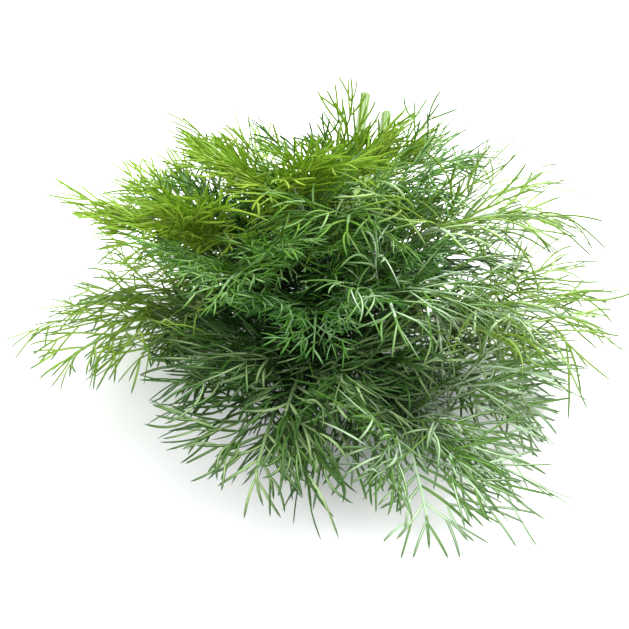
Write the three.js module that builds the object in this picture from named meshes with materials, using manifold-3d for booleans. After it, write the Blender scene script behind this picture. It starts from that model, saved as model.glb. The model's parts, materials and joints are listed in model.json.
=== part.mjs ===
// A bunch of dill lying on its side: twelve cut stems, each with its feathery fronds.
// Millimetres, +Z up. The bunch lies on z = 0 with its leaf tips towards -Y and its cut stems towards +Y.
import * as THREE from 'three';
import Module from 'manifold-3d';

const wasm = await Module();
wasm.setup();

// Stems
const STEM_CUT_RADIUS = 1.6; // at the cut end
const STEM_TIP_RADIUS = 0.8; // where the last frond starts
const STEM_GAP = 0.5; // between stems that lie beside each other
const STEM_STEPS = 10;
const STEM_SIDES = 6;

// The bundle that the cut stems form behind the leaves
const BUNDLE_X = 2; // where its middle line meets y = 0
const BUNDLE_SLANT = 0.11; // how far it runs to +X for each millimetre towards +Y
const FAN_OPENING = 1.6; // how far apart the stems are where they enter the leaves, against the cut ends
const FLAT_SHARE = [0.4, 0.1, 0.1]; // how much of each row's stems lies level before it rises

// Fronds
const FROND_LENGTH = 47;
const FROND_TAPER = 0.16; // how much shorter each frond is than the one below it on its stem
const FRONDS_PER_STEM = 4;
const LEAFY_LENGTH = 46; // the top stretch of each stem that carries fronds
const PETIOLE_RADIUS = 0.7;
const RACHIS_TIP_RADIUS = 0.3;
const FROND_STEPS = 5;
const FROND_DROOP = 0.42; // how far a tip hangs below a straight frond, as a share of its length
const SEAT_GAP = 0.3; // between a petiole and its stem

// Pinnae, the side branches of a frond
const PINNA_PAIRS = 4;
const PINNA_LENGTH = 28; // the lowest pair
const PINNA_TIP_SHARE = 0.45; // the highest pair, against the lowest
const PINNA_RADIUS = 0.42;
const PINNA_DROOP = 0.06; // how far its tips hang, as a share of its length
const PINNA_START = 0.26; // where the lowest pair stands along the frond
const PINNA_END = 0.9; // where the highest pair stands
const PINNA_ANGLE = 40; // degrees from the rachis
const PINNA_LIFT = 20; // degrees out of the frond's own plane
const PRONG_SHARE = 0.52; // a pinna's two side prongs, against the pinna
const PRONG_ANGLE = 30;
const NOTCH_SHARE = 0.14; // how far up the middle prong the side prongs part from it
const CLEARANCE = 0.3; // between any two pieces

// How strongly a frond follows its stem, turns sideways, and points away from the heart of the bunch
const FOLLOW_SHARE = 0.55;
const SIDE_SHARE = 0.65;
const OUT_SHARE = 0.68;

const FLOOR_CLEARANCE = 0.02;
const HEART = new THREE.Vector3(3, 4, -6); // the point that the fronds spread away from
const UP = new THREE.Vector3(0, 0, 1);
const RIGHT = new THREE.Vector3(1, 0, 0);
const GOLDEN_ANGLE = 137.5;

// Each sprig: its row in the bundle, its place in that row, how far back it is cut, where it turns away
// from the bundle, where its stem ends, how bluish its leaves are, and its fronds' length against the usual.
const SPRIGS = [
  { row: 0, place: -2, cutY: 88, bendY: 18, tip: [-31, 2, 13], tint: 0.3, size: 1 },
  { row: 0, place: -1, cutY: 76, bendY: 18, tip: [-6, -18, 12], tint: 0.75, size: 0.9 },
  { row: 0, place: 0, cutY: 132, bendY: 20, tip: [0, -12, 14], tint: 0.8, size: 0.85 },
  { row: 0, place: 1, cutY: 96, bendY: 20, tip: [19, -28, 11], tint: 1, size: 0.92 },
  { row: 0, place: 2, cutY: 121, bendY: 16, tip: [32, -3, 18], tint: 0.9, size: 0.97 },
  { row: 1, place: -2, cutY: 82, bendY: 32, tip: [-23, 9, 29], tint: 0, size: 0.95 },
  { row: 1, place: -1, cutY: 92, bendY: 30, tip: [-13, -2, 31], tint: 0.4, size: 0.92 },
  { row: 1, place: 0, cutY: 80, bendY: 30, tip: [1, -5, 27], tint: 0.8, size: 0.8 },
  { row: 1, place: 1, cutY: 70, bendY: 30, tip: [14, -9, 31], tint: 0.7, size: 0.92 },
  { row: 1, place: 2, cutY: 90, bendY: 32, tip: [23, 8, 33], tint: 0.6, size: 1.02 },
  { row: 2, place: -0.5, cutY: 78, bendY: 38, tip: [-5, 18, 35], tint: 0.1, size: 0.9 },
  { row: 2, place: 0.5, cutY: 86, bendY: 38, tip: [9, 9, 38], tint: 0.4, size: 0.85 },
];

const radians = THREE.MathUtils.degToRad;

/** A repeatable number from -1 to 1 for each set of three whole numbers. */
function jitter(a, b, c) {
  const wave = Math.sin(a * 12.9898 + b * 78.233 + c * 37.719) * 43758.5453;
  return 2 * (wave - Math.floor(wave)) - 1;
}

/** A vector of unit length that is the sum of [vector, share] pairs. */
function blend(...parts) {
  const sum = new THREE.Vector3();
  for (const [vector, share] of parts) sum.addScaledVector(vector, share);
  return sum.normalize();
}

/** What is left of a vector once its share along a unit direction is taken away, at unit length. */
function across(vector, direction) {
  return blend([vector, 1], [direction, -vector.dot(direction)]);
}

/** A point kept far enough above the surface for a rod of this radius. */
function aboveFloor(point, radius) {
  point.z = Math.max(point.z, radius + FLOOR_CLEARANCE);
  return point;
}

/** The shortest distance between the straight stretches a-b and c-d. */
function stretchDistance(a, b, c, d) {
  const first = b.clone().sub(a);
  const second = d.clone().sub(c);
  const offset = a.clone().sub(c);
  const firstLength = first.dot(first);
  const secondLength = second.dot(second);
  const turned = first.dot(second);
  const alongFirst = first.dot(offset);
  const alongSecond = second.dot(offset);
  const spread = firstLength * secondLength - turned * turned;
  let s = 0;
  if (spread > 1e-9) s = (turned * alongSecond - alongFirst * secondLength) / spread;
  s = THREE.MathUtils.clamp(s, 0, 1);
  const t = THREE.MathUtils.clamp((turned * s + alongSecond) / secondLength, 0, 1);
  s = THREE.MathUtils.clamp((turned * t - alongFirst) / firstLength, 0, 1);
  return a.clone().addScaledVector(first, s).distanceTo(c.clone().addScaledVector(second, t));
}

/** Every rod placed so far, so that the next one can grow clear of them all. */
const placed = [];

/** The straight rods of a path, each as thick as its thicker end. */
function rodsAlong(points, radii, owner) {
  return points.slice(1).map((end, k) => ({
    start: points[k],
    end,
    radius: Math.max(radii[k], radii[k + 1]),
    owner,
  }));
}

/** Whether rods stay clear of every placed rod whose owner isn't one of their own. */
function isClear(rods, owners) {
  return rods.every((rod) => placed.every((other) => {
    if (owners.includes(other.owner)) return true;
    const room = rod.radius + other.radius + CLEARANCE;
    return stretchDistance(rod.start, rod.end, other.start, other.end) >= room;
  }));
}

/** One ring of a rod's skin, with its first corner to the side and its second axis along the normal. */
function ring(centre, tangent, normal, radius, sides) {
  const side = new THREE.Vector3().crossVectors(tangent, normal).normalize();
  const top = new THREE.Vector3().crossVectors(side, tangent).normalize();
  return Array.from({ length: sides }, (_, k) => {
    const angle = (k * 2 * Math.PI) / sides;
    return centre.clone()
      .addScaledVector(side, radius * Math.cos(angle))
      .addScaledVector(top, radius * Math.sin(angle));
  });
}

/** The direction of a path at one of its points. */
function tangentAt(points, k) {
  const before = points[Math.max(k - 1, 0)];
  const after = points[Math.min(k + 1, points.length - 1)];
  return after.clone().sub(before).normalize();
}

/** A closed rod along a path: flat at its start, and flat or pointed at its end. */
function rod(points, radii, normal, sides, pointed) {
  const last = points.length - 1;
  const ringCount = pointed ? last : last + 1;
  const corners = [];
  for (let k = 0; k < ringCount; k += 1) {
    corners.push(...ring(points[k], tangentAt(points, k), normal, radii[k], sides));
  }
  const faces = [];
  for (let k = 0; k < sides; k += 1) {
    const next = (k + 1) % sides;
    for (let level = 0; level < ringCount - 1; level += 1) {
      const low = level * sides;
      const high = low + sides;
      faces.push(low + k, high + k, high + next, low + k, high + next, low + next);
    }
    const top = (ringCount - 1) * sides;
    if (pointed) faces.push(top + k, ringCount * sides, top + next);
    if (k > 0 && k < sides - 1) {
      faces.push(0, k, next);
      if (!pointed) faces.push(top, top + next, top + k);
    }
  }
  if (pointed) corners.push(points[last]);
  const geometry = new THREE.BufferGeometry().setFromPoints(corners);
  geometry.setIndex(faces);
  return geometry;
}

function toSolid(geometry) {
  return new wasm.Manifold(new wasm.Mesh({
    numProp: 3,
    vertProperties: new Float32Array(geometry.attributes.position.array),
    triVerts: new Uint32Array(geometry.index.array),
  }));
}

function joined(geometries) {
  const solid = geometries.map(toSolid).reduce((whole, part) => whole.add(part));
  const mesh = solid.getMesh();
  const geometry = new THREE.BufferGeometry();
  geometry.setAttribute('position', new THREE.BufferAttribute(mesh.vertProperties, 3));
  geometry.setIndex(new THREE.BufferAttribute(mesh.triVerts, 1));
  return geometry;
}

/** A stem's middle line, from its cut end to its last frond, with its radius at each point. */
function stemPath(sprig) {
  const pitch = 2 * STEM_CUT_RADIUS + STEM_GAP;
  const rowHeight = sprig.row * pitch;
  const cut = new THREE.Vector3(BUNDLE_X + BUNDLE_SLANT * sprig.cutY + sprig.place * pitch, sprig.cutY, 0);
  const bend = new THREE.Vector3(
    BUNDLE_X + BUNDLE_SLANT * sprig.bendY + sprig.place * pitch * FAN_OPENING, sprig.bendY, 0);
  const tip = new THREE.Vector3(sprig.tip[0], sprig.tip[1], 0);
  const curve = new THREE.QuadraticBezierCurve3(cut, bend, tip);
  const points = [];
  const radii = [];
  for (let k = 0; k <= STEM_STEPS; k += 1) {
    const along = k / STEM_STEPS;
    const radius = THREE.MathUtils.lerp(STEM_CUT_RADIUS, STEM_TIP_RADIUS, along);
    const point = curve.getPoint(along);
    const rise = Math.max(along - FLAT_SHARE[sprig.row], 0) / (1 - FLAT_SHARE[sprig.row]);
    // The flat underside of the bottom row lies on the surface, and the rows above lie on that row.
    point.z = THREE.MathUtils.lerp(rowHeight, sprig.tip[2], rise * rise);
    point.z += radius * Math.cos(Math.PI / STEM_SIDES);
    points.push(point);
    radii.push(radius);
  }
  return { points, radii };
}

/** A point at a share of the way along an evenly stepped path. */
function pointAlong(points, share) {
  const step = Math.min(Math.floor(share * (points.length - 1)), points.length - 2);
  return points[step].clone().lerp(points[step + 1], share * (points.length - 1) - step);
}

/** The line of a frond's rachis that leaves a stem in a given direction and droops towards its tip. */
function rachisPoints(start, direction, length) {
  return Array.from({ length: FROND_STEPS + 1 }, (_, k) => {
    const along = k / FROND_STEPS;
    const radius = THREE.MathUtils.lerp(PETIOLE_RADIUS, RACHIS_TIP_RADIUS, along);
    const point = start.clone().addScaledVector(direction, length * along);
    point.z -= length * FROND_DROOP * along * along;
    return aboveFloor(point, radius);
  });
}

const rachisRadii = Array.from({ length: FROND_STEPS + 1 }, (_, k) => (
  THREE.MathUtils.lerp(PETIOLE_RADIUS, RACHIS_TIP_RADIUS, k / FROND_STEPS)));

/** A frond's rachis, turned about its wanted direction by as little as keeps it clear of its neighbours. */
function growRachis(stem, seatShare, wanted, stemTangent, length, stemName) {
  const seat = pointAlong(stem.points, seatShare);
  const stemRadius = THREE.MathUtils.lerp(STEM_CUT_RADIUS, STEM_TIP_RADIUS, seatShare);
  const side = across(RIGHT, wanted);
  const top = new THREE.Vector3().crossVectors(wanted, side);
  for (let attempt = 0; ; attempt += 1) {
    const turn = radians(attempt * GOLDEN_ANGLE);
    const tilt = 0.1 * Math.sqrt(attempt);
    const direction = blend([wanted, 1], [side, tilt * Math.cos(turn)], [top, tilt * Math.sin(turn)]);
    let start;
    if (seatShare === 1) {
      start = seat.clone().addScaledVector(stemTangent, SEAT_GAP + PETIOLE_RADIUS);
    } else {
      const off = across(direction, stemTangent);
      start = seat.clone().addScaledVector(off, stemRadius + PETIOLE_RADIUS + SEAT_GAP);
    }
    const points = rachisPoints(start, direction, length);
    const rods = rodsAlong(points, rachisRadii);
    if (isClear(rods.slice(0, 1), [stemName]) && isClear(rods.slice(1), [])) return points;
  }
}

/** A flat three-pronged leaflet: an outline of one stalk and three tips, thickest where the prongs part. */
function leaflet(base, middle, tips, fork, face) {
  const sideways = (point, share) => point.clone().addScaledVector(fork, share * PINNA_RADIUS);
  const notch = (tip) => middle.clone().lerp(tip, NOTCH_SHARE);
  const [right, centre, left] = tips;
  const outline = [
    sideways(base, -1), sideways(middle, -1), right, sideways(notch(centre), -0.8), centre,
    sideways(notch(centre), 0.8), left, sideways(middle, 1), sideways(base, 1),
  ];
  const ridge = middle.clone().addScaledVector(face, PINNA_RADIUS);
  const keel = middle.clone().addScaledVector(face, -PINNA_RADIUS);
  const faces = outline.flatMap((_, k) => {
    const next = (k + 1) % outline.length;
    return [k, next, outline.length, next, k, outline.length + 1];
  });
  const geometry = new THREE.BufferGeometry().setFromPoints([...outline, ridge, keel]);
  geometry.setIndex(faces);
  return geometry;
}

/** A pinna that is lifted or shortened by as little as keeps it clear. */
function growPinna(base, tangent, normal, hand, length, owner) {
  const sideways = new THREE.Vector3().crossVectors(tangent, normal).multiplyScalar(hand);
  for (let shrink = 1; ; shrink *= 0.85) {
    for (const turn of [0, 16, -16, 32, -32, 48, -48]) {
      const lift = radians(PINNA_LIFT + turn);
      const spread = radians(PINNA_ANGLE);
      const direction = blend(
        [tangent, Math.cos(spread)],
        [sideways, Math.sin(spread) * Math.cos(lift)],
        [normal, Math.sin(spread) * Math.sin(lift)],
      );
      const fork = across(tangent, direction);
      const face = new THREE.Vector3().crossVectors(direction, fork);
      const reach = length * shrink;
      const middle = aboveFloor(base.clone().addScaledVector(direction, reach * 0.5), PINNA_RADIUS);
      const tips = [-1, 0, 1].map((prongHand) => {
        const turned = radians(PRONG_ANGLE * prongHand);
        const share = prongHand === 0 ? 0.5 : PRONG_SHARE;
        const tip = middle.clone()
          .addScaledVector(direction, reach * share * Math.cos(turned))
          .addScaledVector(fork, reach * share * Math.sin(turned));
        tip.z -= reach * PINNA_DROOP;
        return aboveFloor(tip, 0);
      });
      const rods = [
        ...rodsAlong([base, middle], [PINNA_RADIUS, PINNA_RADIUS], owner),
        ...tips.flatMap((tip) => rodsAlong([middle, tip], [PINNA_RADIUS, 0], owner)),
      ];
      if (isClear(rods, [owner])) return { geometry: leaflet(base, middle, tips, fork, face), rods };
    }
  }
}

/** One frond: its petiole and rachis, and its pairs of pinnae. */
function growFrond(stem, stemName, name, sprigIndex, frondIndex) {
  const leafyShare = LEAFY_LENGTH / stem.length;
  const seatShare = 1 - (frondIndex / FRONDS_PER_STEM) * leafyShare;
  const near = Math.min(Math.round(seatShare * STEM_STEPS), STEM_STEPS);
  const stemTangent = tangentAt(stem.points, near);
  const outward = pointAlong(stem.points, seatShare).sub(HEART).normalize();
  const sideways = across(new THREE.Vector3().crossVectors(stemTangent, UP), stemTangent);
  const hand = frondIndex % 2 === 0 ? 1 : -1;
  const terminal = frondIndex === 0;
  const wanted = blend(
    [stemTangent, terminal ? 1 : FOLLOW_SHARE],
    [sideways, terminal ? 0.1 * jitter(sprigIndex, frondIndex, 1) : hand * SIDE_SHARE],
    [outward, terminal ? 0.25 : OUT_SHARE],
    [UP, 0.22 + 0.15 * jitter(sprigIndex, frondIndex, 2)],
  );
  const length = FROND_LENGTH * SPRIGS[sprigIndex].size
    * (1 - FROND_TAPER * (FRONDS_PER_STEM - 1 - frondIndex) / FRONDS_PER_STEM)
    * (1 + 0.1 * jitter(sprigIndex, frondIndex, 3));
  const points = growRachis(stem, seatShare, wanted, stemTangent, length, stemName);
  placed.push(...rodsAlong(points, rachisRadii, name));
  const pieces = [rod(points, rachisRadii, UP, 3, true)];
  for (let pair = 0; pair < PINNA_PAIRS; pair += 1) {
    const upward = pair / (PINNA_PAIRS - 1);
    const share = THREE.MathUtils.lerp(PINNA_START, PINNA_END, upward);
    const base = pointAlong(points, share);
    const tangent = tangentAt(points, Math.round(share * FROND_STEPS));
    const normal = across(outward.clone().add(UP), tangent);
    const reach = PINNA_LENGTH * THREE.MathUtils.lerp(1, PINNA_TIP_SHARE, upward);
    for (const side of [1, -1]) {
      const change = 1 + 0.16 * jitter(sprigIndex * 10 + frondIndex, pair, side);
      const pinna = growPinna(base, tangent, normal, side, reach * change, name);
      placed.push(...pinna.rods);
      pieces.push(pinna.geometry);
    }
  }
  return joined(pieces);
}

const stemColour = new THREE.Color(0x9fb56a);
const sunlitLeaf = new THREE.Color(0x7fae25);
const bluishLeaf = new THREE.Color(0x7f9f78);

const bunch = new THREE.Group();

function addPiece(name, geometry, colour) {
  const piece = new THREE.Mesh(geometry, new THREE.MeshStandardMaterial({ color: colour, roughness: 0.6 }));
  piece.name = name;
  bunch.add(piece);
}

const stems = SPRIGS.map((sprig, index) => {
  const name = `stem_${index + 1}`;
  const { points, radii } = stemPath(sprig);
  const rods = rodsAlong(points, radii, name);
  placed.push(...rods);
  addPiece(name, rod(points, radii, UP, STEM_SIDES, false), stemColour);
  const length = rods.reduce((sum, piece) => sum + piece.start.distanceTo(piece.end), 0);
  return { name, points, length };
});

for (let frondIndex = 0; frondIndex < FRONDS_PER_STEM; frondIndex += 1) {
  stems.forEach((stem, index) => {
    const name = `frond_${index + 1}_${frondIndex + 1}`;
    const colour = sunlitLeaf.clone().lerp(bluishLeaf, SPRIGS[index].tint);
    addPiece(name, growFrond(stem, stem.name, name, index, frondIndex), colour);
  });
}

// The origin is below the middle of the whole bunch, on the surface that it lies on.
const middle = new THREE.Box3().setFromObject(bunch, true).getCenter(new THREE.Vector3());
bunch.position.set(-middle.x, -middle.y, 0);

export default bunch;
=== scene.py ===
# A bunch of dill on a white table. The frame's stems and fronds are grown again from the same sizes, and then
# each gets its finer shape: ribbed stems with cut ends, and every thread of the leaves.
import json
import math
from collections import namedtuple

import bpy
import numpy as np
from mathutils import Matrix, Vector


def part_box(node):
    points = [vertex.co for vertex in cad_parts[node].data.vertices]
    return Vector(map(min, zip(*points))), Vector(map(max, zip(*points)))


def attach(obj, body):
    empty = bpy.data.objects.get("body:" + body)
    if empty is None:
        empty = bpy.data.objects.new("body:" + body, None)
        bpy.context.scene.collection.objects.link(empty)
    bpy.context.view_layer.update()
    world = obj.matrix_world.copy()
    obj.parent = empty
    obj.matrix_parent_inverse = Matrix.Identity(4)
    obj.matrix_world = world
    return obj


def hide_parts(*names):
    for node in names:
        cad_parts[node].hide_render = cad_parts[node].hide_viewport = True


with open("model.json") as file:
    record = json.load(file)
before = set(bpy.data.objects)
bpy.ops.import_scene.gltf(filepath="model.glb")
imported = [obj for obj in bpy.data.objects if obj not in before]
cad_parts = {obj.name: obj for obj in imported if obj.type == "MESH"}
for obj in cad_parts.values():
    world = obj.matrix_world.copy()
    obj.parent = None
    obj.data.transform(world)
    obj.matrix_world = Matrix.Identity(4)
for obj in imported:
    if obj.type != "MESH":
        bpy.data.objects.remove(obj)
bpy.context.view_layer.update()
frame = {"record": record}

MM = 0.001

# ---------------------------------------------------------------- sizes that the solids were made from
STEM_CUT_RADIUS = 1.6 * MM
STEM_TIP_RADIUS = 0.8 * MM
STEM_GAP = 0.5 * MM
STEM_STEPS = 10
STEM_SIDES = 6
BUNDLE_X = 2 * MM
BUNDLE_SLANT = 0.11
FAN_OPENING = 1.6
FLAT_SHARE = [0.4, 0.1, 0.1]
FROND_LENGTH = 47 * MM
FROND_TAPER = 0.16
FRONDS_PER_STEM = 4
LEAFY_LENGTH = 46 * MM
PETIOLE_RADIUS = 0.7 * MM
RACHIS_TIP_RADIUS = 0.3 * MM
FROND_STEPS = 5
FROND_DROOP = 0.42
SEAT_GAP = 0.3 * MM
PINNA_PAIRS = 4
PINNA_LENGTH = 28 * MM
PINNA_TIP_SHARE = 0.45
PINNA_RADIUS = 0.42 * MM
PINNA_DROOP = 0.06
PINNA_START = 0.26
PINNA_END = 0.9
PINNA_ANGLE = 40
PINNA_LIFT = 20
PRONG_SHARE = 0.52
PRONG_ANGLE = 30
CLEARANCE = 0.3 * MM
FLOOR_CLEARANCE = 0.02 * MM
FOLLOW_SHARE = 0.55
SIDE_SHARE = 0.65
OUT_SHARE = 0.68
HEART = np.array([3, 4, -6]) * MM
UP = np.array([0.0, 0.0, 1.0])
RIGHT = np.array([1.0, 0.0, 0.0])
GOLDEN_ANGLE = 137.5

# The row and the place in it, how far back the stem is cut and where it turns away, where it ends, how long
# its fronds are against the usual, how its leaves are divided (see STYLES) and how much painted sunlight, a
# yellow green, is mixed into their colour
Sprig = namedtuple("Sprig", "row place cut_y bend_y tip size style sun")
SPRIGS = [
    Sprig(0, -2, 88, 18, (-31, 2, 13), 1, "loose", 0.7),
    Sprig(0, -1, 76, 18, (-6, -18, 12), 0.9, "curly", 0.12),
    Sprig(0, 0, 132, 20, (0, -12, 14), 0.85, "broad", 0.05),
    Sprig(0, 1, 96, 20, (19, -28, 11), 0.92, "spiky", 0.05),
    Sprig(0, 2, 121, 16, (32, -3, 18), 0.97, "long", 0.5),
    Sprig(1, -2, 82, 32, (-23, 9, 29), 0.95, "full", 0.5),
    Sprig(1, -1, 92, 30, (-13, -2, 31), 0.92, "fine", 0.15),
    Sprig(1, 0, 80, 30, (1, -5, 27), 0.8, "fine", 0.05),
    Sprig(1, 1, 70, 30, (14, -9, 31), 0.92, "loose", 0.1),
    Sprig(1, 2, 90, 32, (23, 8, 33), 1.02, "long", 0.5),
    Sprig(2, -0.5, 78, 38, (-5, 18, 35), 0.9, "full", 0.5),
    Sprig(2, 0.5, 86, 38, (9, 9, 38), 0.85, "loose", 0.2),
]


# ---------------------------------------------------------------- the frame's skeleton, grown again
def jitter(a, b, c):
    wave = math.sin(a * 12.9898 + b * 78.233 + c * 37.719) * 43758.5453
    return 2 * (wave - math.floor(wave)) - 1


def unit(vector):
    return vector / np.linalg.norm(vector)


def blend(*parts):
    return unit(sum(vector * share for vector, share in parts))


def across(vector, direction):
    return unit(vector - direction * vector.dot(direction))


def above_floor(point, radius):
    return np.array([point[0], point[1], max(point[2], radius + FLOOR_CLEARANCE)])


def lerp(low, high, share):
    return low + (high - low) * share


placed = {"start": [], "end": [], "radius": [], "owner": []}


def place(rods):
    for start, end, radius, owner in rods:
        placed["start"].append(start)
        placed["end"].append(end)
        placed["radius"].append(radius)
        placed["owner"].append(owner)


def rods_along(points, radii, owner):
    return [(points[k], points[k + 1], max(radii[k], radii[k + 1]), owner) for k in range(len(points) - 1)]


def stretch_distances(a, b, starts, ends):
    """The shortest distance from the stretch a-b to each of many others."""
    first = b - a
    second = ends - starts
    offset = a - starts
    first_length = first.dot(first)
    second_length = (second * second).sum(1)
    turned = second @ first
    along_first = offset @ first
    along_second = (offset * second).sum(1)
    spread = first_length * second_length - turned * turned
    s = np.where(spread > 1e-21, (turned * along_second - along_first * second_length)
                 / np.maximum(spread, 1e-21), 0)
    s = np.clip(s, 0, 1)
    t = np.clip((turned * s + along_second) / second_length, 0, 1)
    s = np.clip((turned * t - along_first) / first_length, 0, 1)
    gaps = a + first * s[:, None] - (starts + second * t[:, None])
    return np.sqrt((gaps * gaps).sum(1))


def is_clear(rods, owners, table):
    starts, ends, radii, names = table
    others = ~np.isin(names, owners)
    for start, end, radius, _ in rods:
        gaps = stretch_distances(start, end, starts[others], ends[others])
        if (gaps < radius + radii[others] + CLEARANCE).any():
            return False
    return True


def placed_table():
    return (np.array(placed["start"]), np.array(placed["end"]), np.array(placed["radius"]),
            np.array(placed["owner"]))


def tangent_at(points, k):
    return unit(points[min(k + 1, len(points) - 1)] - points[max(k - 1, 0)])


def point_along(points, share):
    step = min(int(share * (len(points) - 1)), len(points) - 2)
    return lerp(points[step], points[step + 1], share * (len(points) - 1) - step)


def stem_path(sprig):
    """The way along a stem: from the cut it runs flat in its row, then turns aside and rises to its tip."""
    pitch = 2 * STEM_CUT_RADIUS + STEM_GAP
    flat_share = FLAT_SHARE[sprig.row]
    cut_y = sprig.cut_y * MM
    bend_y = sprig.bend_y * MM
    cut = np.array([BUNDLE_X + BUNDLE_SLANT * cut_y + sprig.place * pitch, cut_y])
    bend = np.array([BUNDLE_X + BUNDLE_SLANT * bend_y + sprig.place * pitch * FAN_OPENING, bend_y])
    end = np.array(sprig.tip[:2]) * MM

    def at(along):
        radius = lerp(STEM_CUT_RADIUS, STEM_TIP_RADIUS, along)
        flat = (1 - along) ** 2 * cut + 2 * along * (1 - along) * bend + along * along * end
        rise = max(along - flat_share, 0) / (1 - flat_share)
        z = lerp(sprig.row * pitch, sprig.tip[2] * MM, rise * rise) + radius * math.cos(math.pi / STEM_SIDES)
        return np.array([flat[0], flat[1], z]), radius
    return at


def rachis_points(start, direction, length):
    points = []
    for k in range(FROND_STEPS + 1):
        along = k / FROND_STEPS
        point = start + direction * length * along - UP * length * FROND_DROOP * along * along
        points.append(above_floor(point, lerp(PETIOLE_RADIUS, RACHIS_TIP_RADIUS, along)))
    return points


RACHIS_RADII = [lerp(PETIOLE_RADIUS, RACHIS_TIP_RADIUS, k / FROND_STEPS) for k in range(FROND_STEPS + 1)]


def grow_rachis(stem, seat_share, wanted, stem_tangent, length, table):
    """A frond's middle rib, in the wanted direction or as near to it as is clear of its neighbours."""
    seat = point_along(stem["points"], seat_share)
    stem_radius = lerp(STEM_CUT_RADIUS, STEM_TIP_RADIUS, seat_share)
    side = across(RIGHT, wanted)
    top = np.cross(wanted, side)
    attempt = 0
    while True:
        turn = math.radians(attempt * GOLDEN_ANGLE)
        tilt = 0.1 * math.sqrt(attempt)
        direction = blend((wanted, 1), (side, tilt * math.cos(turn)), (top, tilt * math.sin(turn)))
        if seat_share == 1:
            start = seat + stem_tangent * (SEAT_GAP + PETIOLE_RADIUS)
        else:
            start = seat + across(direction, stem_tangent) * (stem_radius + PETIOLE_RADIUS + SEAT_GAP)
        points = rachis_points(start, direction, length)
        rods = rods_along(points, RACHIS_RADII, "")
        if is_clear(rods[:1], [stem["name"]], table) and is_clear(rods[1:], [], table):
            return points
        attempt += 1


def grow_pinna(base, tangent, normal, hand, length, owner, table):
    """A three-pronged side branch, turned or shortened by as little as keeps it clear."""
    sideways = np.cross(tangent, normal) * hand
    spread = math.radians(PINNA_ANGLE)
    shrink = 1.0
    while True:
        for turn in (0, 16, -16, 32, -32, 48, -48):
            lift = math.radians(PINNA_LIFT + turn)
            direction = blend((tangent, math.cos(spread)), (sideways, math.sin(spread) * math.cos(lift)),
                              (normal, math.sin(spread) * math.sin(lift)))
            fork = across(tangent, direction)
            face = np.cross(direction, fork)
            reach = length * shrink
            middle = above_floor(base + direction * reach * 0.5, PINNA_RADIUS)
            tips = []
            for prong in (-1, 0, 1):
                turned = math.radians(PRONG_ANGLE * prong)
                share = 0.5 if prong == 0 else PRONG_SHARE
                tip = middle + reach * share * (direction * math.cos(turned) + fork * math.sin(turned))
                tips.append(above_floor(tip - UP * reach * PINNA_DROOP, 0))
            rods = rods_along([base, middle], [PINNA_RADIUS, PINNA_RADIUS], owner)
            for tip in tips:
                rods += rods_along([middle, tip], [PINNA_RADIUS, 0], owner)
            if is_clear(rods, [owner], table):
                return {"base": base, "middle": middle, "tips": tips, "direction": direction,
                        "fork": fork, "face": face, "reach": reach, "rods": rods}
        shrink *= 0.85


def grow_frond(stem, name, sprig_index, frond_index):
    """A frond's rachis and its pairs of pinnae, numbered from the tip of the stem down."""
    leafy_share = LEAFY_LENGTH / stem["length"]
    seat_share = 1 - (frond_index / FRONDS_PER_STEM) * leafy_share
    near = min(math.floor(seat_share * STEM_STEPS + 0.5), STEM_STEPS)
    stem_tangent = tangent_at(stem["points"], near)
    outward = unit(point_along(stem["points"], seat_share) - HEART)
    sideways = across(np.cross(stem_tangent, UP), stem_tangent)
    hand = 1 if frond_index % 2 == 0 else -1
    terminal = frond_index == 0
    wanted = blend(
        (stem_tangent, 1 if terminal else FOLLOW_SHARE),
        (sideways, 0.1 * jitter(sprig_index, frond_index, 1) if terminal else hand * SIDE_SHARE),
        (outward, 0.25 if terminal else OUT_SHARE),
        (UP, 0.22 + 0.15 * jitter(sprig_index, frond_index, 2)))
    length = (FROND_LENGTH * SPRIGS[sprig_index].size
              * (1 - FROND_TAPER * (FRONDS_PER_STEM - 1 - frond_index) / FRONDS_PER_STEM)
              * (1 + 0.1 * jitter(sprig_index, frond_index, 3)))
    table = placed_table()
    points = grow_rachis(stem, seat_share, wanted, stem_tangent, length, table)
    place(rods_along(points, RACHIS_RADII, name))
    pinnae = []
    for pair in range(PINNA_PAIRS):
        upward = pair / (PINNA_PAIRS - 1)
        share = lerp(PINNA_START, PINNA_END, upward)
        base = point_along(points, share)
        tangent = tangent_at(points, math.floor(share * FROND_STEPS + 0.5))
        normal = across(outward + UP, tangent)
        reach = PINNA_LENGTH * lerp(1, PINNA_TIP_SHARE, upward)
        for side in (1, -1):
            change = 1 + 0.16 * jitter(sprig_index * 10 + frond_index, pair, side)
            pinna = grow_pinna(base, tangent, normal, side, reach * change, name, table)
            place(pinna["rods"])
            pinnae.append(pinna)
    return {"name": name, "points": points, "pinnae": pinnae, "outward": outward, "seat_share": seat_share,
            "stem_tangent": stem_tangent, "stem": stem, "sprig": SPRIGS[sprig_index], "order": frond_index}


stems = []
for index, sprig in enumerate(SPRIGS):
    path = stem_path(sprig)
    points = [path(k / STEM_STEPS)[0] for k in range(STEM_STEPS + 1)]
    radii = [path(k / STEM_STEPS)[1] for k in range(STEM_STEPS + 1)]
    rods = rods_along(points, radii, f"stem_{index + 1}")
    place(rods)
    length = sum(np.linalg.norm(end - start) for start, end, _, _ in rods)
    stems.append({"name": f"stem_{index + 1}", "path": path, "points": points, "radii": radii,
                  "length": length})

fronds = []
for frond_index in range(FRONDS_PER_STEM):
    for index, stem in enumerate(stems):
        fronds.append(grow_frond(stem, f"frond_{index + 1}_{frond_index + 1}", index, frond_index))


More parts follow.
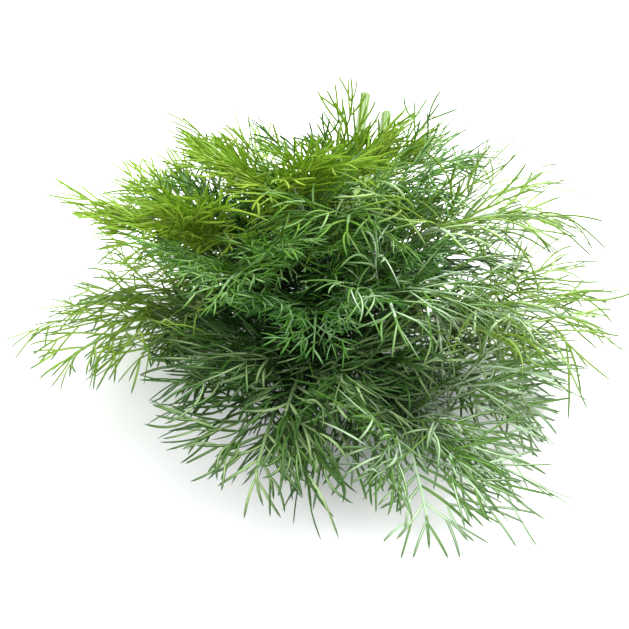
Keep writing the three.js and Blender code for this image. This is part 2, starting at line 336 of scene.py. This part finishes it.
# ---------------------------------------------------------------- meshes
def frames_along(points, up, tangents=None):
    """Side and top vectors along (n, steps, 3) points."""
    if tangents is None:
        tangents = np.gradient(points, axis=1)
        tangents /= np.maximum(np.linalg.norm(tangents, axis=2, keepdims=True), 1e-12)
    side = np.cross(tangents, up[:, None, :])
    side /= np.maximum(np.linalg.norm(side, axis=2, keepdims=True), 1e-9)
    top = np.cross(side, tangents)
    return side, top


def swept(points, up, half_width, half_height, sides, attributes, turn=0.0, tangents=None):
    """Closed tubes along (n, steps, 3) points with (n, steps) half sizes: corners, faces and values."""
    count, steps, _ = points.shape
    side, top = frames_along(points, up, tangents)
    angle = (np.arange(sides) + turn) * 2 * math.pi / sides
    corners = (points[:, :, None, :]
               + side[:, :, None, :] * (half_width[:, :, None] * np.cos(angle))[..., None]
               + top[:, :, None, :] * (half_height[:, :, None] * np.sin(angle))[..., None])
    index = np.arange(count * steps * sides).reshape(count, steps, sides)
    ahead = np.roll(index, -1, axis=2)
    quads = np.stack([index[:, :-1], index[:, 1:], ahead[:, 1:], ahead[:, :-1]], axis=-1).reshape(-1, 4)
    starts = index[:, 0, :]
    ends = index[:, -1, ::-1]
    # face runs from -1 at a tube's bottom to 1 at its top; the leaves use it for a painted highlight on the
    # top and painted shade on the sides
    values = {"face": np.broadcast_to(np.sin(angle), (count, steps, sides)).reshape(-1)}
    for name, value in attributes.items():
        values[name] = np.broadcast_to(value[..., None] if value.ndim == 2 else value[:, None, None],
                                       (count, steps, sides)).reshape(-1)
    return corners.reshape(-1, 3), quads, np.concatenate([starts, ends]), values


# The middle of the bunch, where the leaves are crowded and in the shade of each other; that shade is painted
# into the colour of every piece.
# A point's distance from it is counted in reaches: up to the inner one it gets the full painted shade, and
# from the outer one on none.
CORE = np.array([0, -7, 15]) * MM
CORE_REACH = np.array([39, 35, 28]) * MM
CORE_INNER = 0.55
CORE_OUTER = 1.2


def mesh_object(name, parts, **whole):
    """One object from several swept parts, with values that hold for the whole of it."""
    corners, quads, caps, values = [], [], [], {}
    offset = 0
    for part_corners, part_quads, part_caps, part_values in parts:
        corners.append(part_corners)
        quads.append(part_quads + offset)
        caps.append([cap + offset for cap in part_caps])
        for key, value in part_values.items():
            values.setdefault(key, []).append(value)
        offset += len(part_corners)
    corners = np.concatenate(corners)
    away = np.sqrt((((corners - CORE) / CORE_REACH) ** 2).sum(1))
    # painted shade: how far inside the crowded middle each corner lies
    values["painted_core_shade"] = [np.clip((CORE_OUTER - away) / (CORE_OUTER - CORE_INNER), 0, 1)]
    for key, value in whole.items():
        values[key] = [np.full(len(corners), value)]
    corners = corners + shift
    quads = np.concatenate(quads)
    loops = [quads.reshape(-1)]
    totals = [np.full(len(quads), 4)]
    for group in caps:
        if len(group):
            loops.append(np.array(group).reshape(-1))
            totals.append(np.full(len(group), len(group[0])))
    loops = np.concatenate(loops)
    totals = np.concatenate(totals)
    mesh = bpy.data.meshes.new(name)
    mesh.vertices.add(len(corners))
    mesh.vertices.foreach_set("co", corners.astype(np.float32).reshape(-1))
    mesh.loops.add(len(loops))
    mesh.loops.foreach_set("vertex_index", loops.astype(np.int32))
    mesh.polygons.add(len(totals))
    mesh.polygons.foreach_set("loop_start", np.concatenate([[0], np.cumsum(totals)[:-1]]).astype(np.int32))
    mesh.polygons.foreach_set("loop_total", totals.astype(np.int32))
    mesh.polygons.foreach_set("use_smooth", np.ones(len(totals), dtype=bool))
    for key, value in values.items():
        layer = mesh.attributes.new(key, "FLOAT", "POINT")
        layer.data.foreach_set("value", np.concatenate(value).astype(np.float32))
    mesh.update(calc_edges=True)
    mesh.validate()
    thing = bpy.data.objects.new(name, mesh)
    bpy.context.scene.collection.objects.link(thing)
    return thing


def way_to_frame():
    """The frame's origin is under the middle of the whole bunch: one stem's place gives the way there."""
    stem = stems[2]
    radii = np.array([stem["radii"]])
    plain_stem = swept(np.array([stem["points"]]), UP[None], radii, radii, STEM_SIDES, {})[0]
    low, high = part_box(stem["name"])
    way = (np.array(low) + np.array(high)) / 2 - (plain_stem.min(0) + plain_stem.max(0)) / 2
    way[2] = 0
    return way


shift = way_to_frame()


# ---------------------------------------------------------------- fine leaves
LEAF_STEPS = np.array([0, 0.15, 0.35, 0.55, 0.74, 0.91, 1.0])
LEAF_PROFILE = np.array([0.62, 0.9, 1.0, 1.0, 0.94, 0.76, 0.12])
LEAF_SIDES = 6
THREAD_FLATNESS = 0.5
# How far above the table a thread's middle stays, against its half width: a thread may lie tilted
THREAD_REST = 0.85
# The width of a pinna's own thread, its side threads and theirs, against the style's
THREAD_WIDTHS = (1.12, 1.0, 0.92)
# Where the pairs of side threads start and end along a pinna's own thread and along a side thread, and how
# many there are for each gap that fits in the thread's length
FIRST_PAIR = 0.14
LAST_PAIRS = (0.84, 0.66)
PAIRS_PER_GAP = 0.62
# Tips that would stand higher than this bow down, by this share of what is over it
HIGH_TIPS = 66 * MM
HIGH_BOW = 0.5
# The two short pinnae below the frame's lowest one: where they leave the rachis, and their length against its
LOW_PINNAE = ((0.19, 0.72), (0.12, 0.55))
# A pinna's length between two of the frame's, against theirs together
BETWEEN_LENGTH = 0.44

# How the leaves of a sprig are divided, in millimetres and degrees:
# half, gap: the half width of a thread, and the room between two pairs on a pinna
# low, high: the angles of the lowest and the highest pair
# short, long: the shortest and the longest side thread
# curl, droop: how much threads curl, and how far their tips hang down, against their length
# share: a side thread's length against the thread it grows from
# between: whether there are pinnae between the frame's ones
# tufts: how many young leaves stand where the first frond leaves the stem; each frond below it has one more
STYLES = {
    "full": {"half": 0.32, "gap": 6, "low": 30, "high": 14, "short": 6.5, "long": 17, "curl": 0.09,
             "share": 0.72, "between": True, "tufts": 4, "droop": 0.07},
    "fine": {"half": 0.26, "gap": 3.7, "low": 44, "high": 24, "short": 4.5, "long": 10.5, "curl": 0.08,
             "share": 0.56, "between": True, "tufts": 6, "droop": 0.07},
    "loose": {"half": 0.3, "gap": 8, "low": 34, "high": 15, "short": 8, "long": 19, "curl": 0.12,
              "share": 0.75, "between": False, "tufts": 3, "droop": 0.2},
    "long": {"half": 0.33, "gap": 13, "low": 32, "high": 16, "short": 13, "long": 30, "curl": 0.2,
             "share": 0.95, "between": False, "tufts": 2, "droop": 0.2},
    "broad": {"half": 0.36, "gap": 6.6, "low": 34, "high": 14, "short": 8, "long": 20, "curl": 0.13,
              "share": 0.76, "between": True, "tufts": 5, "droop": 0.07},
    "curly": {"half": 0.36, "gap": 7.5, "low": 26, "high": 12, "short": 9, "long": 20, "curl": 0.2,
              "share": 0.8, "between": True, "tufts": 5, "droop": 0.1},
    "spiky": {"half": 0.34, "gap": 8.6, "low": 34, "high": 15, "short": 9, "long": 22, "curl": 0.08,
              "share": 0.8, "between": True, "tufts": 4, "droop": 0.1},
}


class Threads:
    """The curved threads of one frond, gathered so that they are swept together."""

    def __init__(self):
        self.rows = []

    def add(self, points, up, half_width, order, tone):
        self.rows.append((points, up, half_width, order, tone))

    def sweep(self, sides):
        a, b, c = (np.array([row[0][k] for row in self.rows]) for k in range(3))
        up = np.array([row[1] for row in self.rows])
        half = np.array([row[2] for row in self.rows])
        order = np.array([row[3] for row in self.rows], dtype=float)
        tone = np.array([row[4] for row in self.rows])
        t = LEAF_STEPS[None, :, None]
        points = (1 - t) ** 2 * a[:, None] + 2 * t * (1 - t) * b[:, None] + t * t * c[:, None]
        width = half[:, None] * LEAF_PROFILE
        points[..., 2] = np.maximum(points[..., 2], THREAD_REST * width + FLOOR_CLEARANCE)
        along = np.broadcast_to(LEAF_STEPS, width.shape)
        return swept(points, up, width, width * THREAD_FLATNESS, sides,
                     {"along": along, "order": order, "tone": tone}, turn=0.5)


def curve_point(points, share):
    a, b, c = points
    return (1 - share) ** 2 * a + 2 * share * (1 - share) * b + share * share * c


def curve_tangent(points, share):
    a, b, c = points
    return unit((1 - share) * (b - a) + share * (c - b))


def turned_by(vector, axis, angle):
    return (vector * math.cos(angle) + np.cross(axis, vector) * math.sin(angle)
            + axis * axis.dot(vector) * (1 - math.cos(angle)))


def grow_thread(threads, rng, style, start, direction, face, length, order, curl):
    """A thread with side threads of the next order, in the plane whose normal is face."""
    half_width = style["half"] * MM * THREAD_WIDTHS[order - 1]
    side = np.cross(face, direction)
    bend = curl * 0.6 + rng.normal(0, style["curl"])
    arch = rng.normal(0.02, style["curl"] * 0.7)
    control = start + direction * length * 0.5 - side * bend * length * 0.35 + face * arch * length * 0.3
    end = start + direction * length + side * bend * length - face * arch * length
    end[2] -= style["droop"] * length
    end[2] -= HIGH_BOW * max(0, end[2] - HIGH_TIPS)
    control[2] = max(control[2], half_width)
    end[2] = max(end[2], half_width * 0.4)
    points = (start, control, end)
    threads.add(points, face, half_width, order, rng.uniform(0, 1))
    if order >= 3 or length < 1.25 * style["short"] * MM:
        return
    pairs = max(1, int(round(PAIRS_PER_GAP * length / (style["gap"] * MM))))
    for pair in range(pairs):
        share = lerp(FIRST_PAIR, LAST_PAIRS[order - 1], (pair + 0.5) / pairs)
        for hand in (1, -1):
            at = share + rng.uniform(-0.06, 0.06)
            fork_base = curve_point(points, at)
            tangent = curve_tangent(points, at)
            angle = math.radians(lerp(style["low"], style["high"], at) + rng.uniform(-7, 7)) * hand
            child_face = turned_by(face, tangent, rng.uniform(-0.6, 0.6))
            child_direction = unit(turned_by(tangent, child_face, angle)
                                   + child_face * rng.uniform(-0.12, 0.16))
            child_face = across(child_face, child_direction)
            child_length = length * style["share"] * lerp(1, 0.62, at) * rng.uniform(0.8, 1.25)
            child_length = min(max(child_length, style["short"] * MM), style["long"] * MM)
            # side threads start outwards and turn forwards
            grow_thread(threads, rng, style, fork_base, child_direction, child_face, child_length, order + 1,
                        -hand * style["curl"])


def rachis_curve(frond, steps):
    """The rachis as a smooth path through the frame's points."""
    points = np.array(frond["points"])
    shares = np.linspace(0, 1, len(points))
    fine = np.linspace(0, 1, steps)
    curve = np.array([np.interp(fine, shares, points[:, axis]) for axis in range(3)]).T
    for _ in range(3):
        curve[1:-1] = (curve[:-2] + 2 * curve[1:-1] + curve[2:]) / 4
    return curve


def smaller_pinnae(pinnae, curve, style):
    """The pinnae between the frame's ones, and the short ones close to the stem."""
    more = []
    for hand in (0, 1):
        _, direction, face, reach = pinnae[hand]
        for share, size in LOW_PINNAE:
            foot = curve[int(share * (len(curve) - 1))]
            more.append((foot, direction, face, reach * size))
        if not style["between"]:
            continue
        for pair in range(PINNA_PAIRS - 1):
            low = pinnae[2 * pair + hand]
            high = pinnae[2 * pair + 2 + hand]
            foot = (low[0] + high[0]) / 2
            nearest = curve[np.argmin(((curve - foot) ** 2).sum(1))]
            direction = unit(low[1] + high[1])
            face = across(low[2] + high[2], direction)
            more.append((nearest, direction, face, BETWEEN_LENGTH * (low[3] + high[3])))
    return more


# The steps along the rachis, its last thread's length, the young leaves' shortest and longest, and the sheath
# around the stem: how far below the seat each of its rings is, and how wide it is against the stem
RACHIS_STEPS = 28
TIP_LENGTH = 12 * MM
TUFT_LENGTHS = (12, 21)
SHEATH_RINGS = ((7, 1.04), (4, 1.22), (1, 1.1))
STALK_SIDES = 12
STALK_FLATNESS = 0.85


def build_frond(frond, seed):
    """The finer shape of one frond: its stalk with the sheath, and all its threads."""
    rng = np.random.default_rng(seed)
    threads = Threads()
    style = STYLES[frond["sprig"].style]
    curve = rachis_curve(frond, RACHIS_STEPS)
    pinnae = [(pinna["base"], pinna["direction"], pinna["face"], pinna["reach"]) for pinna in frond["pinnae"]]
    for base, direction, face, reach in pinnae + smaller_pinnae(pinnae, curve, style):
        face = face if face @ frond["outward"] > 0 else -face
        grow_thread(threads, rng, style, base, direction, face, reach, 1, 0)
    tip_direction = unit(curve[-1] - curve[-4])
    normal = across(frond["outward"] + UP, tip_direction)
    grow_thread(threads, rng, style, curve[-5], tip_direction, normal, TIP_LENGTH, 1, 0)
    stem = frond["stem"]
    tangent = frond["stem_tangent"]
    seat = point_along(stem["points"], frond["seat_share"])
    # young leaves in the angle between the petiole and the stem
    for _ in range(style["tufts"] + frond["order"]):
        aside = rng.normal(0, 1, 3)
        direction = blend((tangent, 0.7), (frond["outward"], 0.5), (aside, 0.45))
        grow_thread(threads, rng, STYLES["fine"], seat + direction * MM, direction, across(UP, direction),
                    rng.uniform(*TUFT_LENGTHS) * MM, 1, 0)
    stem_radius = lerp(STEM_CUT_RADIUS, STEM_TIP_RADIUS, frond["seat_share"])
    sheath = [seat - tangent * below * MM for below, _ in SHEATH_RINGS]
    sheath_radii = [stem_radius * width for _, width in SHEATH_RINGS]
    whole = np.array(sheath + list(curve))
    radii = np.array(sheath_radii + list(np.linspace(PETIOLE_RADIUS * 0.9, style["half"] * MM, len(curve))))
    # even out the kink where the sheath leaves the stem
    for _ in range(2):
        whole[1:-1] = (whole[:-2] + 2 * whole[1:-1] + whole[2:]) / 4
    whole[:, 2] = np.maximum(whole[:, 2], radii)
    along = np.linspace(0, 1, len(whole))[None]
    stalk = swept(whole[None], np.array([normal]), radii[None], radii[None] * STALK_FLATNESS, STALK_SIDES,
                  {"along": along, "order": np.array([0.0]), "tone": np.array([0.5])})
    # The frond's value sun is its share of painted sunlight
    return mesh_object(frond["name"] + "_leaf", [stalk, threads.sweep(LEAF_SIDES)],
                       sun=frond["sprig"].sun + rng.uniform(-0.1, 0.1))


# The cut end: how far each ring stands out from the centre, and how deep it lies, as a share of the depth.
# Rings inside the pith's edge are pith, and the rim has a little of its colour.
CUT_RINGS = [(0.02, 0.35), (0.3, 0.32), (0.5, 0.18), (0.66, 0.06), (0.82, 0.02), (0.95, 0.0), (1.0, 0.12)]
CUT_SLANTS = [0.3, -0.2, 0.1, 0.35, -0.3, 0.15, -0.1, 0.25, -0.35, 0.2, 0.05, -0.25]
CUT_DEPTH = 0.7 * MM
PITH_EDGE = 0.9
SKIN_PITH = 0.25
# The cut's slant fades out over this length
SLANT_LENGTH = 6 * MM
STEM_RIBS = 11
RIB_SIDES = 66
RIB_HEIGHT = 0.035
SKIN_RINGS = 64


def build_stem(stem, index):
    """The finer shape of one stem: a ribbed skin and a cut end with its pith."""
    shares = np.concatenate([np.zeros(len(CUT_RINGS)), np.linspace(0.004, 1, SKIN_RINGS)])
    points = np.array([stem["path"](share)[0] for share in shares])
    radii = np.array([stem["path"](share)[1] for share in shares])
    tangents = np.array([unit(stem["path"](min(share + 0.01, 1))[0] - stem["path"](max(share - 0.01, 0))[0])
                         for share in shares])
    pith = np.zeros(len(shares))
    for k, (out, inside) in enumerate(CUT_RINGS):
        points[k] += tangents[k] * inside * CUT_DEPTH
        radii[k] *= out
        pith[k] = 1 if out < PITH_EDGE else SKIN_PITH
    corners, quads, caps, values = swept(points[None], UP[None], radii[None], radii[None], RIB_SIDES, {
        "along": shares[None], "pith": pith[None]}, tangents=tangents[None])
    corners = corners.reshape(len(shares), RIB_SIDES, 3)
    angle = np.arange(RIB_SIDES) * 2 * math.pi / RIB_SIDES
    rib = np.cos(STEM_RIBS * angle + 1.3 * index)
    ribbed = np.clip((np.arange(len(shares)) - len(CUT_RINGS) + 2) / 2, 0, 1)
    swell = 1 + RIB_HEIGHT * rib[None, :] * ribbed[:, None]
    corners = points[:, None, :] + (corners - points[:, None, :]) * swell[..., None]
    # the knife went through at a slight slant
    lean = CUT_SLANTS[index] * (corners[..., 0] - points[0, 0])
    near = np.clip(1 - shares * stem["length"] / SLANT_LENGTH, 0, 1)
    corners[..., 1] -= lean * near[:, None]
    corners[..., 2] = np.maximum(corners[..., 2], FLOOR_CLEARANCE)
    values["rib"] = np.broadcast_to(rib, (len(shares), RIB_SIDES)).reshape(-1)
    return mesh_object(stem["name"] + "_skin", [(corners.reshape(-1, 3), quads, caps, values)])


# ---------------------------------------------------------------- materials
class Shader:
    """A material whose colour is mixed from the meshes' own values."""

    def __init__(self, name):
        self.material = bpy.data.materials.new(name)
        self.material.use_nodes = True
        self.nodes = self.material.node_tree.nodes
        self.links = self.material.node_tree.links
        self.nodes.clear()

    def attribute(self, key):
        node = self.nodes.new("ShaderNodeAttribute")
        node.attribute_name = key
        return node.outputs["Fac"]

    def mix(self, factor, first, second):
        node = self.nodes.new("ShaderNodeMix")
        node.data_type = "RGBA"
        for socket, value in ((node.inputs[0], factor), (node.inputs[6], first), (node.inputs[7], second)):
            if isinstance(value, tuple):
                socket.default_value = (*value, 1)
            else:
                self.links.new(value, socket)
        return node.outputs[2]

    def ramp(self, value, low, high, to_low=0.0, to_high=1.0):
        node = self.nodes.new("ShaderNodeMapRange")
        self.links.new(value, node.inputs[0])
        for k, number in enumerate((low, high, to_low, to_high)):
            node.inputs[k + 1].default_value = number
        return node.outputs[0]

    def finish(self, colour, roughness, specular, translucent):
        surface = self.nodes.new("ShaderNodeBsdfPrincipled")
        glow = self.nodes.new("ShaderNodeBsdfTranslucent")
        both = self.nodes.new("ShaderNodeMixShader")
        out = self.nodes.new("ShaderNodeOutputMaterial")
        surface.inputs["Roughness"].default_value = roughness
        surface.inputs["Specular IOR Level"].default_value = specular
        both.inputs[0].default_value = translucent
        self.links.new(colour, surface.inputs["Base Color"])
        self.links.new(colour, glow.inputs["Color"])
        self.links.new(surface.outputs[0], both.inputs[1])
        self.links.new(glow.outputs[0], both.inputs[2])
        self.links.new(both.outputs[0], out.inputs[0])
        return self.material


# The painted sunlight that the yellow-green leaves are mixed towards, and the painted shade that darkens the
# crowded middle
SUN_COLOUR = (0.27, 0.42, 0.03)
PAINTED_SHADE_COLOUR = (0.009, 0.046, 0.005)
PAINTED_SHADE_SHARE = 0.88


# Painted shade: the colour is mixed towards dark green the deeper a point lies in the crowded middle
def paint_shade_on_middle(shader, colour):
    return shader.mix(shader.ramp(shader.attribute("painted_core_shade"), 0, 1, 0.0, PAINTED_SHADE_SHARE), colour, PAINTED_SHADE_COLOUR)


def leaf_material(name, face_colour, edge_colour, back_colour, stalk_colour, translucent):
    """A thread's raised middle is pale, from its waxy bloom and a painted highlight, and its edges are dark
    with painted shade; some are pale, or turned over, all along.
    """
    shader = Shader(name)
    # The raised middle gets the waxy bloom and a painted highlight, the sides painted shade
    bloom_and_painted_highlight = shader.ramp(shader.attribute("face"), 0.62, 0.98)
    colour = shader.mix(bloom_and_painted_highlight, edge_colour, face_colour)
    bright = shader.ramp(shader.attribute("tone"), 0.3, 0.12, 0.0, 0.8)
    colour = shader.mix(bright, colour, face_colour)
    tone = shader.ramp(shader.attribute("tone"), 0.5, 0.75, 0.0, 0.9)
    colour = shader.mix(tone, colour, back_colour)
    # painted sunlight: the colour is mixed towards a sunlit yellow-green
    colour = shader.mix(shader.attribute("sun"), colour, SUN_COLOUR)
    tip = shader.ramp(shader.attribute("along"), 0.45, 0.95, 0.0, 0.85)
    colour = shader.mix(tip, colour, edge_colour)
    stalk = shader.ramp(shader.attribute("order"), 0.9, 0.1)
    colour = shader.mix(stalk, colour, stalk_colour)
    return shader.finish(paint_shade_on_middle(shader, colour), 0.42, 0.28, translucent)


def stem_material(name, low_colour, high_colour, groove_colour, pith_colour):
    """Paler at the cut end, darker in the grooves between its ribs."""
    shader = Shader(name)
    colour = shader.mix(shader.ramp(shader.attribute("along"), 0.15, 0.75), low_colour, high_colour)
    groove = shader.ramp(shader.attribute("rib"), 0.1, -0.9, 0.0, 0.75)
    colour = shader.mix(groove, colour, groove_colour)
    colour = shader.mix(shader.attribute("pith"), colour, pith_colour)
    return shader.finish(paint_shade_on_middle(shader, colour), 0.38, 0.35, 0.12)


# By the record's material slots: the colours of a thread's face, which holds its bloom and a painted
# highlight, its edge, which is painted shade on its sides and also its tips' colour, its back and its stalk,
# and how far light comes through; for the stem its low, high, groove and pith colours
materials = {
    # leaf_sunlit is a lit copy of the leaf: its brighter yellow-green colours are painted sunlight
    "leaf_sunlit": leaf_material("dill_leaf_sunlit", (0.36, 0.55, 0.045), (0.17, 0.34, 0.01),
                                 (0.46, 0.58, 0.1), (0.38, 0.52, 0.11), 0.4),
    "leaf_green": leaf_material("dill_leaf_green", (0.29, 0.49, 0.21), (0.02, 0.11, 0.006),
                                (0.07, 0.22, 0.015), (0.25, 0.43, 0.17), 0.25),
    "leaf_bluish": leaf_material("dill_leaf_bluish", (0.32, 0.46, 0.2), (0.014, 0.06, 0.004),
                                 (0.03, 0.1, 0.007), (0.21, 0.33, 0.13), 0.14),
    "leaf_pale": leaf_material("dill_leaf_pale", (0.47, 0.62, 0.43), (0.035, 0.1, 0.006),
                               (0.055, 0.16, 0.012), (0.37, 0.5, 0.33), 0.14),
    "stem": stem_material("dill_stem", (0.17, 0.26, 0.085), (0.12, 0.23, 0.05), (0.08, 0.15, 0.03),
                          (0.5, 0.56, 0.33)),
}
slot_of = {part["node"]: part["material_slot"] for part in frame["record"]["subparts"]}


def dress(piece, node):
    """Gives a piece its material, hangs it under the root and hides the frame's node that it stands for."""
    slot_name = slot_of[node]
    piece.data.materials.append(materials[slot_name])
    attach(piece, "root")
    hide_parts(node)


for index, stem in enumerate(stems):
    dress(build_stem(stem, index), stem["name"])
for index, frond in enumerate(fronds):
    dress(build_frond(frond, 100 + index), frond["name"])


# ---------------------------------------------------------------- table, light and camera
TABLE_REACH = 12.0
CAMERA_LENS = 85
CAMERA_ELEVATION = 40
CAMERA_DISTANCE = 0.366
LAMP_SIZE = 0.9


def lay_table():
    corners = [(-TABLE_REACH, -TABLE_REACH, 0), (TABLE_REACH, -TABLE_REACH, 0), (TABLE_REACH, TABLE_REACH, 0),
               (-TABLE_REACH, TABLE_REACH, 0)]
    mesh = bpy.data.meshes.new("table")
    mesh.from_pydata(corners, [], [(0, 1, 2, 3)])
    table = bpy.data.objects.new("table", mesh)
    bpy.context.scene.collection.objects.link(table)
    white = bpy.data.materials.new("white_table")
    white.use_nodes = True
    surface = white.node_tree.nodes["Principled BSDF"]
    surface.inputs["Base Color"].default_value = (0.93, 0.93, 0.935, 1)
    surface.inputs["Roughness"].default_value = 0.6
    mesh.materials.append(white)


def light_room():
    world = bpy.data.worlds.new("studio")
    world.use_nodes = True
    background = world.node_tree.nodes["Background"]
    background.inputs["Color"].default_value = (0.97, 0.985, 1.0, 1)
    background.inputs["Strength"].default_value = 1.05
    bpy.context.scene.world = world


def softbox(name, away, aim, power):
    light = bpy.data.lights.new(name, "AREA")
    light.shape = "DISK"
    light.size = LAMP_SIZE
    light.energy = power
    lamp = bpy.data.objects.new(name, light)
    lamp.location = aim + np.array(away)
    lamp.rotation_euler = (-Vector(away)).to_track_quat("-Z", "Y").to_euler()
    bpy.context.scene.collection.objects.link(lamp)


def set_camera(aim):
    data = bpy.data.cameras.new("camera")
    data.lens = CAMERA_LENS
    data.sensor_width = 36
    elevation = math.radians(CAMERA_ELEVATION)
    camera = bpy.data.objects.new("camera", data)
    camera.location = aim + CAMERA_DISTANCE * np.array([0, -math.cos(elevation), math.sin(elevation)])
    camera.rotation_euler = (math.pi / 2 - elevation, 0, 0)
    bpy.context.scene.collection.objects.link(camera)
    bpy.context.scene.camera = camera


# The camera and the lamps aim at the middle of the leaves
middle = shift + np.array([0, 0, 20 * MM])
lay_table()
light_room()
softbox("key", (0.35, 0.45, 0.8), middle, 26)
softbox("fill", (-0.45, -0.75, 0.5), middle, 10)
set_camera(middle)
bpy.context.scene.view_settings.view_transform = "Standard"
